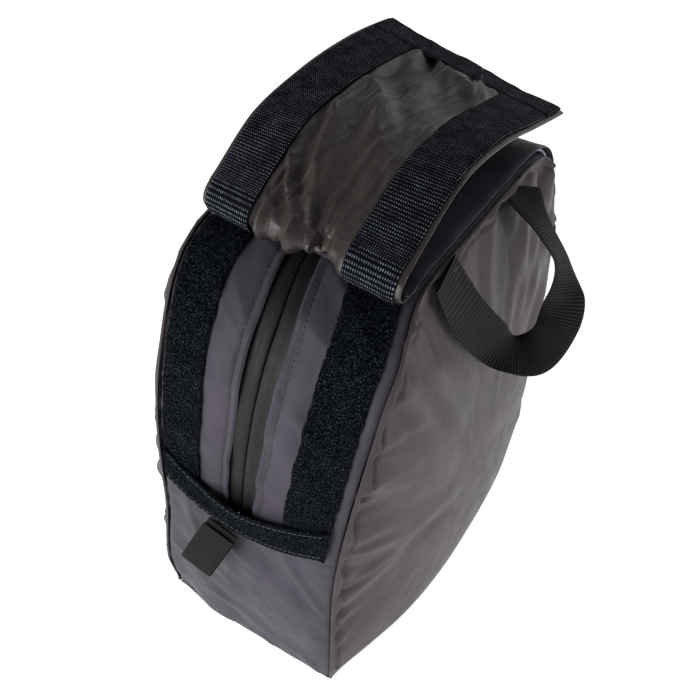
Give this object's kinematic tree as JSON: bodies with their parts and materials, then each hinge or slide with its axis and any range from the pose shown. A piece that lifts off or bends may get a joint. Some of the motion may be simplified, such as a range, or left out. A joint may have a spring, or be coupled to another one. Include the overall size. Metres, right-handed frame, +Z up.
{
  "type": "shoe bag",
  "caption": "Padded arch-shaped shoe bag with a zipped gusset, a peel-back hook-and-loop flap, a side webbing handle and a front pull tab.",
  "frame": {"origin": "centre of the base on the surface it stands on", "axes": "+Z up; +Y from the front (cross strip and tab) to the rear; +X towards the side with the handle"},
  "size_m": [0.223, 0.3284, 0.3263],
  "materials": {
    "gusset_fabric": "woven, soft sheen",
    "side_fabric": "satin weave",
    "flap_fabric": "crinkled nylon, soft shine",
    "hook_tape": "stiff hook tape",
    "loop_tape": "fuzzy loop tape",
    "coated_tape": "matte coated zipper tape",
    "zip_coil": "nylon coil",
    "zip_metal": "black enamelled",
    "webbing": "ribbed webbing",
    "foam": "open-cell padding",
    "board": "stiffener sheet",
    "binding": "seam binding"
  },
  "bodies": {
    "bag": {"base_panel": "gusset_fabric", "base_board": "board", "side_panel_right": "side_fabric", "side_panel_left": "side_fabric", "side_foam_right": "foam", "side_foam_left": "foam", "front_panel": "gusset_fabric", "rear_panel": "gusset_fabric", "zip_panel_left": "gusset_fabric", "zip_panel_right": "gusset_fabric", "zipper_tape_right": "coated_tape", "zipper_tape_left": "coated_tape", "zipper_coil_right": "zip_coil", "zipper_coil_left": "zip_coil", "zipper_stop_front": "zip_metal", "zipper_stop_rear": "zip_metal", "loop_tape_right": "loop_tape", "loop_tape_left": "loop_tape", "cross_strip": "loop_tape", "flap_base": "flap_fabric", "flap_base_hook_right": "hook_tape", "flap_base_hook_left": "hook_tape", "seam_binding_right": "binding", "seam_binding_left": "binding"},
    "flap_length_1": {"flap_1": "flap_fabric", "flap_hook_right_1": "hook_tape", "flap_hook_left_1": "hook_tape"},
    "flap_length_2": {"flap_2": "flap_fabric", "flap_hook_right_2": "hook_tape", "flap_hook_left_2": "hook_tape"},
    "flap_length_3": {"flap_3": "flap_fabric", "flap_hook_right_3": "hook_tape", "flap_hook_left_3": "hook_tape"},
    "flap_length_4": {"flap_4": "flap_fabric", "flap_hook_right_4": "hook_tape", "flap_hook_left_4": "hook_tape", "flap_end_hook": "hook_tape"},
    "handle": {"handle_strap": "webbing"},
    "tab": {"grab_tab": "webbing"},
    "slider": {"zip_slider": "zip_metal"},
    "puller": {"zip_puller": "zip_metal"}
  },
  "joints": [
    {"name": "flap_fold", "type": "hinge", "parent": "bag", "child": "flap_length_1", "pos_m": [0, -0.083, 0.3], "axis": [1, 0, 0], "range_deg": [0, 181]},
    {"name": "flap_bend_2", "type": "hinge", "parent": "flap_length_1", "child": "flap_length_2", "pos_m": [0, -0.034, 0.32], "axis": [1, 0, 0], "range_deg": [0, 60]},
    {"name": "flap_bend_3", "type": "hinge", "parent": "flap_length_2", "child": "flap_length_3", "pos_m": [0, 0.019, 0.322], "axis": [0.9995, 0, -0.031], "range_deg": [0, 31]},
    {"name": "flap_bend_4", "type": "hinge", "parent": "flap_length_3", "child": "flap_length_4", "pos_m": [0, 0.0715, 0.315], "axis": [0.9981, 0, -0.062], "range_deg": [0, 9.5]},
    {"name": "handle_swing", "type": "hinge", "parent": "bag", "child": "handle", "pos_m": [0.069, 0, 0.2808], "axis": [0, -1, 0], "range_deg": [0, 125]},
    {"name": "tab_swing", "type": "hinge", "parent": "bag", "child": "tab", "pos_m": [-0.008, -0.154, 0.1215], "axis": [-1, 0, 0], "range_deg": [0, 60]},
    {"name": "zip_slide", "type": "slide", "parent": "bag", "child": "slider", "axis": [0, -1, 0], "range_m": [0, 0.11]},
    {"name": "puller_lift", "type": "hinge", "parent": "slider", "child": "puller", "pos_m": [-0.001, 0.0575, 0.2821], "axis": [1, 0, 0], "range_deg": [0, 15]}
  ],
  "couplings": [
    {"joint": "flap_bend_2", "follows": "flap_fold", "ratio": 0.3204},
    {"joint": "flap_bend_3", "follows": "flap_fold", "ratio": 0.1627},
    {"joint": "flap_bend_4", "follows": "flap_fold", "ratio": 0.0482}
  ]
}
